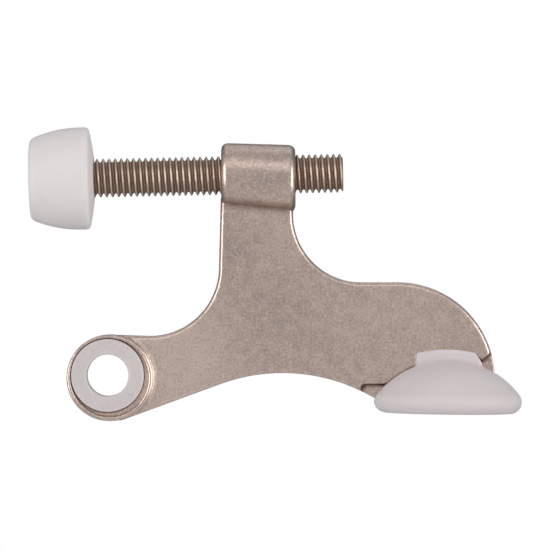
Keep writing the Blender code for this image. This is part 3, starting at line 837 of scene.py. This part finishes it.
def step_discs(lean):
    """The region where both faces of the casting step down to the tongue, drawn in by lean."""
    low = FOOT_FACE_Z - FAR
    far_right = FOOT_X + FOOT_RADIUS
    ear_right = FOOT_X + EAR_RIGHT - EAR_BITE
    ear_left = FOOT_X - EAR_LEFT + EAR_BITE
    notch_left = FOOT_X - LEFT_NOTCH_REACH + lean
    notch_top = FOOT_FACE_Z + LEFT_NOTCH_HEIGHT - lean * LEFT_LEAN
    right_top = FOOT_FACE_Z + RIGHT_NOTCH_HEIGHT - lean * RIGHT_LEAN
    seat_radius = FOOT_DOME_RADIUS + SEAT_MARGIN
    seat_top = FOOT_DOME_Z + math.sqrt(seat_radius**2 - (FOOT_X - ear_left) ** 2)
    blend_z = notch_top + SEAT_BLEND
    blend_x = FOOT_X - math.sqrt((seat_radius + SEAT_BLEND) ** 2 - (blend_z - FOOT_DOME_Z) ** 2)
    return [
        (notch_left, low, 0.0),
        (far_right, low, 0.0),
        (far_right, right_top + (far_right - ear_right) * math.tan(RIGHT_NOTCH_SLOPE), 0.0),
        (ear_right, right_top, 0.0),
        *ear_discs(-EAR_BITE),
        (ear_left, seat_top, 0.0),
        (FOOT_X, FOOT_DOME_Z, seat_radius),
        (blend_x, blend_z, -SEAT_BLEND),
        (notch_left + LEFT_NOTCH_CORNER, notch_top - LEFT_NOTCH_CORNER, LEFT_NOTCH_CORNER),
    ]


def on_rod(along):
    """A point on the screw's axis, at a distance from the middle of the barrel."""
    return np.array([BARREL_X, 0.0, ROD_HEIGHT]) + along * ROD_AXIS


class CastingOperator(bpy.types.Operator):
    """Build the casting: plate, eye and barrel in one skin, bored, seated, stepped and tapped"""

    bl_idname = "doorstop.casting"
    bl_label = "Casting"

    def execute(self, context):
        chosen = context.scene.doorstop_casting
        half = chosen.plate_thickness / 2
        body = slab("casting", casting_discs(chosen.eye_radius), -half, half, chosen.rim_radius)
        tongue = TONGUE_THICKNESS / 2
        for share in np.arange(STEP_LEVELS) / STEP_LEVELS:
            floor = tongue + share * (half - tongue)
            discs = step_discs(STEP_DRAFT * (1.0 - share))
            for low_y, high_y in ((-FAR, -floor), (floor, FAR)):
                combine(body, slab("step", discs, low_y, high_y), "DIFFERENCE")
        self.add_eye(body, chosen)
        self.add_barrel(body)
        new_skin(body, chosen.skin, chosen.relaxing)
        points, _, _ = mesh_arrays(body.data)
        unevenness = ripples(points, RIPPLE_LENGTH, chosen.peel, RIPPLE_WAVES, RIPPLE_SEED)
        unevenness += nicks(points, chosen.nick_count, NICK_WIDTH, NICK_DEPTH, NICK_SEED)
        unevenness -= nicks(points, chosen.nick_count, LUMP_WIDTH, LUMP_HEIGHT, LUMP_SEED)
        move_skin(body, unevenness)
        mark_edges(body, chosen.skin, EDGE_ROUNDS)
        mark_painted_patches(body)
        mark_shelter_shade(body, half)
        nickel = satin_nickel(tuple(chosen.nickel), chosen.grain)
        place_piece(body, nickel, "casting", "satin_nickel_casting", "cast_body")
        return {"FINISHED"}

    def add_eye(self, body, chosen):
        """The ring round the pin, its bore, and a seat for a bush on each side."""
        middle = (EYE_X, 0.0, EYE_Z)
        along = (0.0, 1.0, 0.0)
        half = EYE_THICKNESS / 2
        radius = chosen.eye_radius
        seat_radius = radius - chosen.eye_lip
        seat_y = half - EYE_FLOOR_DEPTH
        collar_radius = radius + COLLAR_WIDTH
        collar_half = chosen.plate_thickness / 2 + COLLAR_PROUD
        profile = [
            [(0.0, -collar_half)],
            *rims(collar_radius, collar_radius, -collar_half, collar_half, COLLAR_EDGE, COLLAR_STEPS),
            [(0.0, collar_half)],
        ]
        collar = turned("collar", profile, middle, along)
        limit = slab("limit", casting_discs(radius), -FAR, FAR, grow=-chosen.rim_radius)
        combine(body, combine(collar, limit, "INTERSECT"), "UNION")
        room_radius = radius - chosen.eye_lip / 2
        combine(body, plug("room", room_radius, -FAR, FAR, middle, along), "DIFFERENCE")
        profile = [
            [(0.0, -seat_y), (seat_radius, -seat_y), (seat_radius, -half)],
            *rims(radius, radius, -half, half, EYE_EDGE_RADIUS, RING_STEPS),
            [(seat_radius, half), (seat_radius, seat_y), (0.0, seat_y)],
        ]
        combine(body, turned("ring", profile, middle, along), "UNION")
        combine(body, plug("bore", BUSH_RADIUS + GAP, -FAR, FAR, PIN, along), "DIFFERENCE")
        pocket_y = half - EYE_SEAT_DEPTH
        pocket_radius = BUSH_FLANGE_RADIUS + EYE_POCKET_GAP
        for low, high in ((-FAR, -pocket_y), (pocket_y, FAR)):
            combine(body, plug("pocket", pocket_radius, low, high, PIN, along), "DIFFERENCE")

    def add_barrel(self, body):
        """The barrel across the top of the neck, and the hole for the screw with its countersinks."""
        reach = BARREL_LENGTH / 2
        radii = (BARREL_LEFT_RADIUS, BARREL_RIGHT_RADIUS)
        profile = [
            [(0.0, -reach)],
            *rims(*radii, -reach, reach, BARREL_END_RADIUS, BARREL_STEPS),
            [(0.0, reach)],
        ]
        barrel = turned("barrel", profile, PIN, (1.0, 0.0, 0.0))
        slope = Matrix.Identity(4)
        slope[2][0] = -BARREL_SLOPE
        barrel.data.transform(Matrix.Translation((BARREL_X, 0.0, ROD_HEIGHT - BARREL_DROP)) @ slope)
        combine(body, barrel, "UNION")
        low = reach - TAPPED_COUNTERSINK
        high = reach + TAPPED_OVERRUN
        wide = TAPPED_RADIUS + high - low
        hole = [
            (0.0, -high), (wide, -high), (TAPPED_RADIUS, -low),
            (TAPPED_RADIUS, low), (wide, high), (0.0, high),
        ]
        combine(body, turned("tapped_hole", hole, on_rod(0.0), ROD_AXIS), "DIFFERENCE")


class RodOperator(bpy.types.Operator):
    """Build the threaded screw with its chamfered end, turned-down neck and head"""

    bl_idname = "doorstop.rod"
    bl_label = "Screw"

    def execute(self, context):
        chosen = context.scene.doorstop_rod
        rod = self.thread(chosen)
        root = chosen.radius - chosen.depth
        thread_end = -TIP_REAR_REACH - THREAD_IN_TIP
        head = -TIP_REAR_REACH - HEAD_DEPTH
        profile = [
            (0.0, head - ROD_HEAD_THICKNESS), (ROD_HEAD_RADIUS, head - ROD_HEAD_THICKNESS),
            (ROD_HEAD_RADIUS, head), (ROD_NECK_RADIUS, head),
            (ROD_NECK_RADIUS, thread_end + NECK_OVERLAP), (0.0, thread_end + NECK_OVERLAP),
        ]
        combine(rod, turned("head", profile, on_rod(0.0), ROD_AXIS, ROUND_STEPS), "UNION")
        points, _, _ = mesh_arrays(rod.data)
        away = points - on_rod(0.0)
        away -= (away @ ROD_AXIS)[:, None] * ROD_AXIS
        height = (np.linalg.norm(away, axis=1) - root) / chosen.depth
        store(rod, "height", np.clip(height, 0.0, 1.0))
        place_piece(rod, plated_steel(tuple(chosen.steel)), "rod", "plated_steel", "adjusting_rod")
        return {"FINISHED"}

    def thread(self, chosen):
        """The skin of a right-hand thread.

        A point is set by u, its distance along, and by its turn: it lies at u + pitch * turn along the
        axis, and its radius falls from the crest to the root with u's distance from the crest's middle. A
        cone cuts it back at each end. What runs past an end is folded into that end's flat face.
        """
        pitch = chosen.pitch
        low = -TIP_REAR_REACH - THREAD_IN_TIP
        high = ROD_RIGHT_REACH
        first = math.floor(low / pitch) - SPARE_TURNS
        rows = (math.ceil(high / pitch) + SPARE_TURNS - first) * chosen.pitch_steps
        share = np.arange(rows) / chosen.pitch_steps
        crest, root = pitch / 8, pitch / 5
        from_crest = np.abs(np.mod(share + 0.5, 1.0) - 0.5) * pitch
        fall = np.clip((from_crest - crest / 2) / ((pitch - crest - root) / 2), 0.0, 1.0)
        fall = (1 - FLANK_SOFTNESS) * fall + FLANK_SOFTNESS * fall**2 * (3 - 2 * fall)
        turn = np.arange(chosen.turn_steps) / chosen.turn_steps
        along = THREAD_PHASE + crest / 2 + pitch * (first + share[:, None] + turn[None, :])
        radius = np.broadcast_to((chosen.radius - chosen.depth * fall)[:, None], along.shape)
        end_radius = chosen.radius - ROD_CHAMFER
        for distance in (high - along, along - low):
            cone = end_radius + np.maximum(distance, 0.0)
            folded = np.clip(1.0 + distance / pitch, 0.0, 1.0)
            radius = np.minimum(radius, cone) * folded
        along = np.clip(along, low, high)
        across = np.array([0.0, 1.0, 0.0])
        over = np.cross(ROD_AXIS, across)
        angle = TURN * turn
        around = np.cos(angle)[:, None] * across + np.sin(angle)[:, None] * over
        points = on_rod(0.0) + along[..., None] * ROD_AXIS + radius[..., None] * around[None]
        index = np.arange(rows * chosen.turn_steps).reshape(rows, chosen.turn_steps)
        index = np.hstack([index[: -chosen.pitch_steps], index[chosen.pitch_steps :, :1]])
        return solid_object("screw", points, squares(index))


def crossing(centre_a, radius_a, centre_b, radius_b):
    """The point where two circles cross, on the left of the way from a to b."""
    between = Vector(centre_b) - Vector(centre_a)
    along = (radius_a**2 - radius_b**2 + between.length_squared) / (2 * between.length)
    aside = math.sqrt(radius_a**2 - along**2)
    way = between.normalized()
    return Vector(centre_a) + way * along + Vector((-way.y, way.x)) * aside


def bearing(centre, point):
    """The direction from a centre to a point, in degrees."""
    return math.degrees(math.atan2(point[1] - centre[1], point[0] - centre[0]))


class TipOperator(bpy.types.Operator):
    """Build the white tip: contact face, bulging side, crowned rear face, hollow for the head"""

    bl_idname = "doorstop.tip"
    bl_label = "Tip"

    def execute(self, context):
        chosen = context.scene.doorstop_plastic
        profile = self.profile(context.scene.doorstop_rod.radius)
        tip = turned("tip", profile, on_rod(0.0), ROD_AXIS, chosen.steps)
        white = white_plastic("white_tip", tuple(chosen.tip), roughness=0.46, peel=0.010 * MM)
        place_piece(tip, white, "tip", "white_tip", "rod_bumper")
        return {"FINISHED"}

    def profile(self, rod_radius):
        """Radius and distance of the tip's outline, from the middle of its contact face."""
        rear = -TIP_REAR_REACH
        face = rear - TIP_LENGTH
        flank_centre = (TIP_RADIUS - TIP_FLANK_RADIUS, face + TIP_WIDEST)
        crown_centre = (0.0, rear - TIP_CROWN_RADIUS)
        face_reach = TIP_FLANK_RADIUS - TIP_FACE_CORNER
        face_drop = TIP_WIDEST - TIP_FACE_CORNER
        face_x = flank_centre[0] + math.sqrt(face_reach**2 - face_drop**2)
        face_corner = (face_x, face + TIP_FACE_CORNER)
        rear_corner = crossing(
            flank_centre, TIP_FLANK_RADIUS - TIP_REAR_CORNER,
            crown_centre, TIP_CROWN_RADIUS - TIP_REAR_CORNER,
        )
        face_turn = -math.degrees(math.asin(face_drop / face_reach))
        rear_turn = bearing(flank_centre, rear_corner)
        crown_turn = bearing(crown_centre, rear_corner)
        hole = rod_radius + GAP
        edge = TIP_HOLE_EDGE
        hole_turn = math.degrees(math.acos((hole + edge) / TIP_CROWN_RADIUS))
        hole_top = crown_centre[1] + TIP_CROWN_RADIUS * math.sin(math.radians(hole_turn))
        throat = rear - THREAD_IN_TIP - GAP
        head_near = rear - HEAD_DEPTH + GAP
        head_far = rear - HEAD_DEPTH - ROD_HEAD_THICKNESS - GAP
        return [
            [(0.0, face), (face_x / 3, face), (face_x * 2 / 3, face)],
            arc(face_corner, TIP_FACE_CORNER, -90, face_turn, TIP_CORNER_STEPS),
            arc(flank_centre, TIP_FLANK_RADIUS, face_turn, rear_turn, FLANK_STEPS)[1:-1],
            arc(rear_corner, TIP_REAR_CORNER, rear_turn, crown_turn, TIP_CORNER_STEPS),
            arc(crown_centre, TIP_CROWN_RADIUS, crown_turn, hole_turn, TIP_CORNER_STEPS)[1:],
            arc((hole + edge, hole_top - edge), edge, 90, 180, RING_STEPS)[1:],
            [(hole, throat), (ROD_NECK_RADIUS + GAP, throat), (ROD_NECK_RADIUS + GAP, head_near)],
            [(ROD_HEAD_RADIUS + GAP, head_near), (ROD_HEAD_RADIUS + GAP, head_far), (0.0, head_far)],
        ]


class FootOperator(bpy.types.Operator):
    """Build the white foot: domed pad, two ears that grip the casting, and the slot between them"""

    bl_idname = "doorstop.foot"
    bl_label = "Foot"

    def execute(self, context):
        chosen = context.scene.doorstop_plastic
        rim = FOOT_RIM_RADIUS
        dome_z = FOOT_HEIGHT - FOOT_DOME_RADIUS
        meeting = bearing((0.0, dome_z), (FOOT_RADIUS - rim, rim))
        profile = [
            [(0.0, 0.0)],
            arc((FOOT_RADIUS - rim, rim), rim, -90, meeting, FOOT_RIM_STEPS),
            arc((0.0, dome_z), FOOT_DOME_RADIUS, meeting, 90, FLANK_STEPS)[1:-1],
            [(0.0, FOOT_HEIGHT)],
        ]
        up = (math.sin(FOOT_TILT), 0.0, math.cos(FOOT_TILT))
        foot = turned("foot", profile, (FOOT_X, 0.0, FOOT_FACE_Z), up, chosen.steps)
        root_z = FOOT_FACE_Z + EAR_ROOT
        ears = [
            (FOOT_X - EAR_LEFT, root_z, 0.0),
            (FOOT_X + EAR_RIGHT, root_z, 0.0),
            (FOOT_X + EAR_RIGHT, FOOT_FACE_Z + FOOT_HEIGHT - EAR_ARCH, 0.0),
            *ear_discs(),
        ]
        combine(foot, slab("ears", ears, -EAR_Y, EAR_Y), "UNION")
        slot_y = TONGUE_THICKNESS / 2 + GAP
        discs = casting_discs(context.scene.doorstop_casting.eye_radius)
        combine(foot, slab("slot", discs, -slot_y, slot_y, grow=GAP), "DIFFERENCE")
        new_skin(foot, chosen.skin, FOOT_RELAXING)
        white = white_plastic("white_foot", tuple(chosen.foot), roughness=0.5, peel=0.012 * MM)
        place_piece(foot, white, "casting", "white_foot", "foot_bumper")
        return {"FINISHED"}


class BushesOperator(bpy.types.Operator):
    """Build the two flanged bushes that line the eye"""

    bl_idname = "doorstop.bushes"
    bl_label = "Bushes"

    def execute(self, context):
        chosen = context.scene.doorstop_plastic
        white = white_plastic("white_bush", tuple(chosen.bush), roughness=0.4, peel=0.008 * MM)
        flange = EYE_THICKNESS / 2 - EYE_SEAT_DEPTH + GAP
        edge = BUSH_EDGE
        profile = [
            [(PIN_HOLE_RADIUS, GAP / 2), (BUSH_RADIUS, GAP / 2)],
            [(BUSH_RADIUS, flange), (BUSH_FLANGE_RADIUS, flange)],
            arc((BUSH_FLANGE_RADIUS - edge, BUSH_FACE - edge), edge, 0, 90, BARREL_STEPS),
            arc((PIN_HOLE_RADIUS + edge, BUSH_FACE - edge), edge, 90, 180, BARREL_STEPS),
        ]
        for name, side in (("front_bush", -1.0), ("rear_bush", 1.0)):
            bush = turned(name + "_turned", profile, PIN, (0.0, side, 0.0), chosen.steps, ring=True)
            place_piece(bush, white, "bushes", "white_bush", name)
            bush.data.set_sharp_from_angle(angle=math.radians(40))
        return {"FINISHED"}


def area_light(name, place, aim, size, radiance, tint):
    """A soft rectangle of light whose power follows from its radiance and its area."""
    lamp = bpy.data.lights.new(name, "AREA")
    lamp.shape = "RECTANGLE"
    lamp.size, lamp.size_y = size
    lamp.energy = radiance * math.pi * size[0] * size[1]
    lamp.color = tint
    holder = bpy.data.objects.new(name, lamp)
    holder.location = place
    holder.rotation_euler = (Vector(aim) - Vector(place)).to_track_quat("-Z", "Y").to_euler()
    bpy.context.scene.collection.objects.link(holder)


def surroundings():
    """White behind the object, and for the light that falls on it a softer room, dark at the back."""
    world = bpy.data.worlds.new("studio")
    bpy.context.scene.world = world
    world.use_nodes = True
    nodes, link = world.node_tree.nodes, world.node_tree.links.new
    room = nodes["Background"]
    kinds = ("TexCoord", "SeparateXYZ", "MapRange", "Mix", "Background", "LightPath", "MixShader")
    direction, split, ramp, blend, white, path, chosen = (nodes.new("ShaderNode" + kind) for kind in kinds)
    ramp.inputs["From Min"].default_value, ramp.inputs["From Max"].default_value = ROOM_BLEND
    blend.data_type = "RGBA"
    blend.inputs[6].default_value = ROOM_FRONT
    blend.inputs[7].default_value = ROOM_BACK
    white.inputs["Color"].default_value = (1.0, 1.0, 1.0, 1.0)
    link(direction.outputs["Generated"], split.inputs[0])
    link(split.outputs["Y"], ramp.inputs["Value"])
    link(ramp.outputs[0], blend.inputs[0])
    link(blend.outputs[2], room.inputs["Color"])
    link(path.outputs["Is Camera Ray"], chosen.inputs[0])
    link(room.outputs[0], chosen.inputs[1])
    link(white.outputs[0], chosen.inputs[2])
    link(chosen.outputs[0], nodes["World Output"].inputs["Surface"])


class StageOperator(bpy.types.Operator):
    """Set up the floor, the studio lights and the camera"""

    bl_idname = "doorstop.stage"
    bl_label = "Stage"

    def execute(self, context):
        chosen = context.scene.doorstop_stage
        low, high = CAD_BOX
        middle = (low + high) / 2
        self.floor(low.z - chosen.floor_drop, chosen)
        surroundings()
        for name, offset, size, radiance, tint in LIGHTS:
            area_light(name, middle + Vector(offset), middle, size, radiance, tint)
        self.camera(context, chosen)
        context.scene.view_settings.view_transform = "Standard"
        return {"FINISHED"}

    def floor(self, height, chosen):
        """A pale disc under the object, fading out before its rounded rim."""
        middle = (chosen.aim_x, 0.0, height)
        profile = [
            [(0.0, -FLOOR_THICKNESS)],
            *rims(FLOOR_REACH, FLOOR_REACH, -FLOOR_THICKNESS, 0.0, FLOOR_RIM, COLLAR_STEPS),
            [(0.0, 0.0)],
        ]
        floor = turned("floor", profile, middle, (0.0, 0.0, 1.0), ROUND_STEPS)
        floor.data.shade_smooth()
        floor.data.set_sharp_from_angle(angle=math.radians(30))
        paper = Finish("pale_floor")
        cloud = paper.noise(150.0 * MM)
        tone = paper.mix(cloud, (0.90, 0.90, 0.90), (0.94, 0.94, 0.94))
        away = paper.node("ShaderNodeVectorMath", {"operation": "DISTANCE"}, {0: paper.place, 1: middle})
        start, gone = (FLOOR_REACH * share for share in FLOOR_FADE)
        fade = paper.ramp(away.outputs["Value"], [(start, 1.0), (gone, 0.0)])
        paper.feed(paper.shader.inputs["Alpha"], fade)
        tooth = paper.bump(paper.noise(1.0 * MM), 0.01 * MM)
        floor.data.materials.append(paper.done(tone, 0.85 + cloud * 0.05, tooth))

    def camera(self, context, chosen):
        """A long lens looking square at the front."""
        lens = bpy.data.cameras.new("camera")
        lens.sensor_width = 36.0
        lens.lens = lens.sensor_width * chosen.distance / chosen.width
        lens.clip_start, lens.clip_end = 0.01, 20.0
        holder = bpy.data.objects.new("camera", lens)
        holder.location = (chosen.aim_x, -chosen.distance, chosen.aim_z)
        holder.rotation_euler = (math.pi / 2, 0.0, 0.0)
        context.scene.collection.objects.link(holder)
        context.scene.camera = holder


OPERATORS = (CastingOperator, RodOperator, TipOperator, FootOperator, BushesOperator, StageOperator)
SETTINGS = {
    "doorstop_casting": CastingSettings,
    "doorstop_rod": RodSettings,
    "doorstop_plastic": PlasticSettings,
    "doorstop_stage": StageSettings,
}


class DoorStopPanel(bpy.types.Panel):
    """The settings and the buttons, one for each piece"""

    bl_idname = "VIEW3D_PT_doorstop"
    bl_label = "Door Stop"
    bl_space_type = "VIEW_3D"
    bl_region_type = "UI"
    bl_category = "Door Stop"

    def draw(self, context):
        for name in SETTINGS:
            group = getattr(context.scene, name)
            box = self.layout.box()
            for key in group.bl_rna.properties.keys():
                if key not in ("rna_type", "name"):
                    box.prop(group, key)
        for operator in OPERATORS:
            self.layout.operator(operator.bl_idname)


def register():
    for settings in SETTINGS.values():
        bpy.utils.register_class(settings)
    for name, settings in SETTINGS.items():
        setattr(bpy.types.Scene, name, PointerProperty(type=settings))
    for made in (*OPERATORS, DoorStopPanel):
        bpy.utils.register_class(made)


def unregister():
    for made in (DoorStopPanel, *reversed(OPERATORS)):
        bpy.utils.unregister_class(made)
    for name, settings in SETTINGS.items():
        delattr(bpy.types.Scene, name)
        bpy.utils.unregister_class(settings)


def main():
    register()
    bpy.ops.doorstop.casting()
    bpy.ops.doorstop.rod()
    bpy.ops.doorstop.tip()
    bpy.ops.doorstop.foot()
    bpy.ops.doorstop.bushes()
    bpy.ops.doorstop.stage()


if __name__ == "__main__":
    main()
